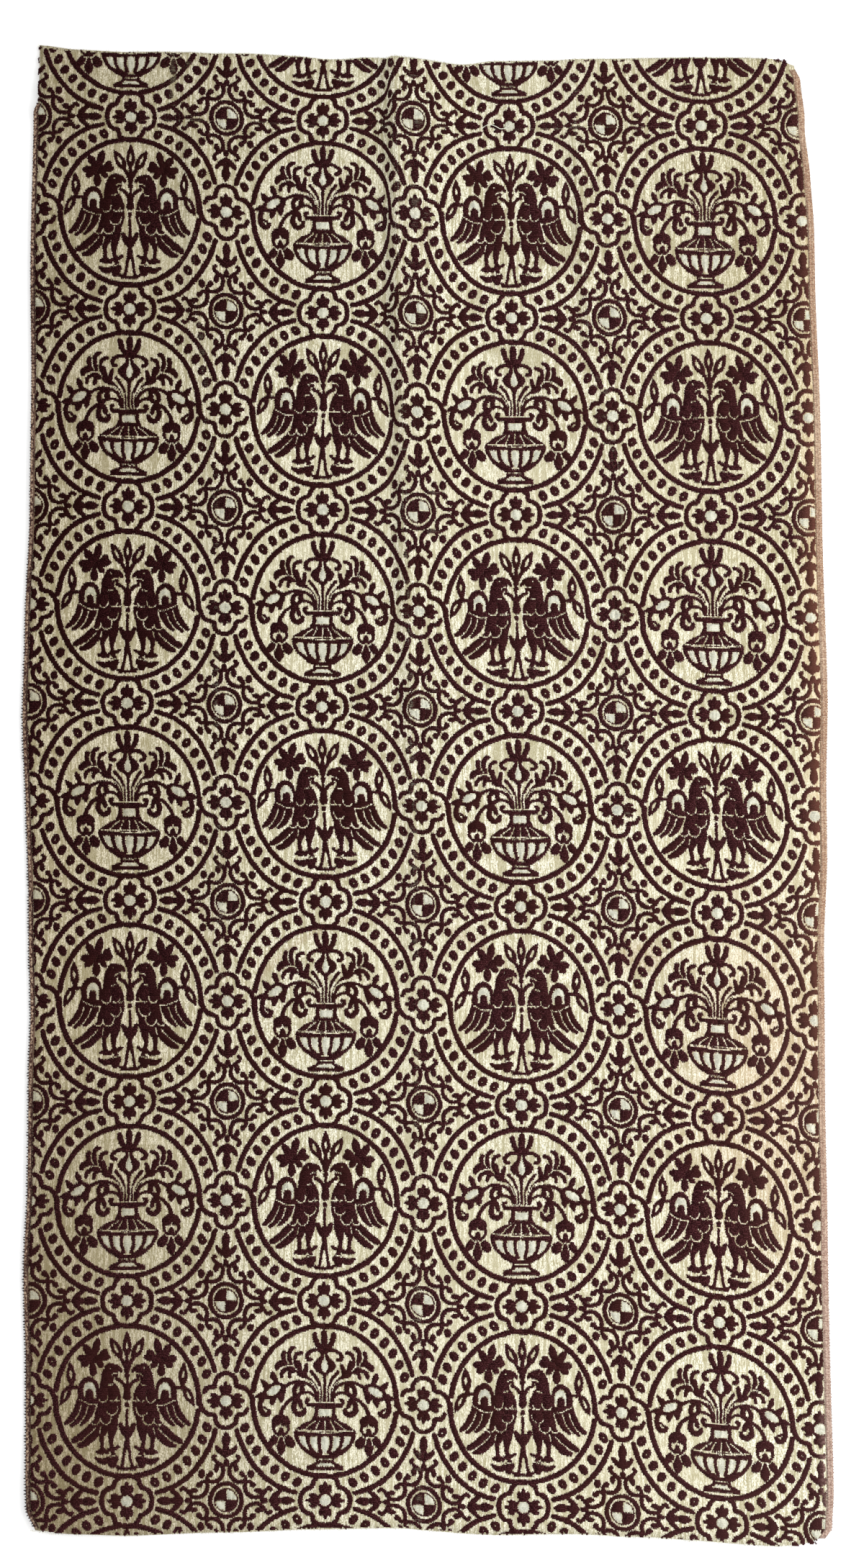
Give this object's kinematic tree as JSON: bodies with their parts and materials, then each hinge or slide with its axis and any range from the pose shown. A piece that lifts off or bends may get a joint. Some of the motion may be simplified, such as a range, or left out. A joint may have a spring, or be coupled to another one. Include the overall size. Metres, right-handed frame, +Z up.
{
  "type": "figured woven cloth panel",
  "caption": "Loom-width length of figured cloth lying flat, selvedges at both sides and cut ends, with a raised dark pattern of pearled roundels on a pale ground and soft storage creases.",
  "frame": {"origin": "middle of the outline's bounding box, on the surface that the cloth lies on", "axes": "+X across the cloth from the left selvedge to the right one, +Y along the warp towards the end with the folds, +Z up from the surface through the figured face"},
  "size_m": [0.543, 1.0238, 0.0125],
  "materials": {
    "ground": "cream and straw coloured warp-faced weave with slubs, aged, low sheen",
    "figure": "dark maroon weft figure standing a little proud, fine ribs across, soft sheen",
    "silver": "silver grey weft patches, slightly glossy",
    "selvedge": "tan ribbed selvedge with brown weft loops"
  },
  "bodies": {
    "root": {"panel": "ground"}
  },
  "joints": []
}
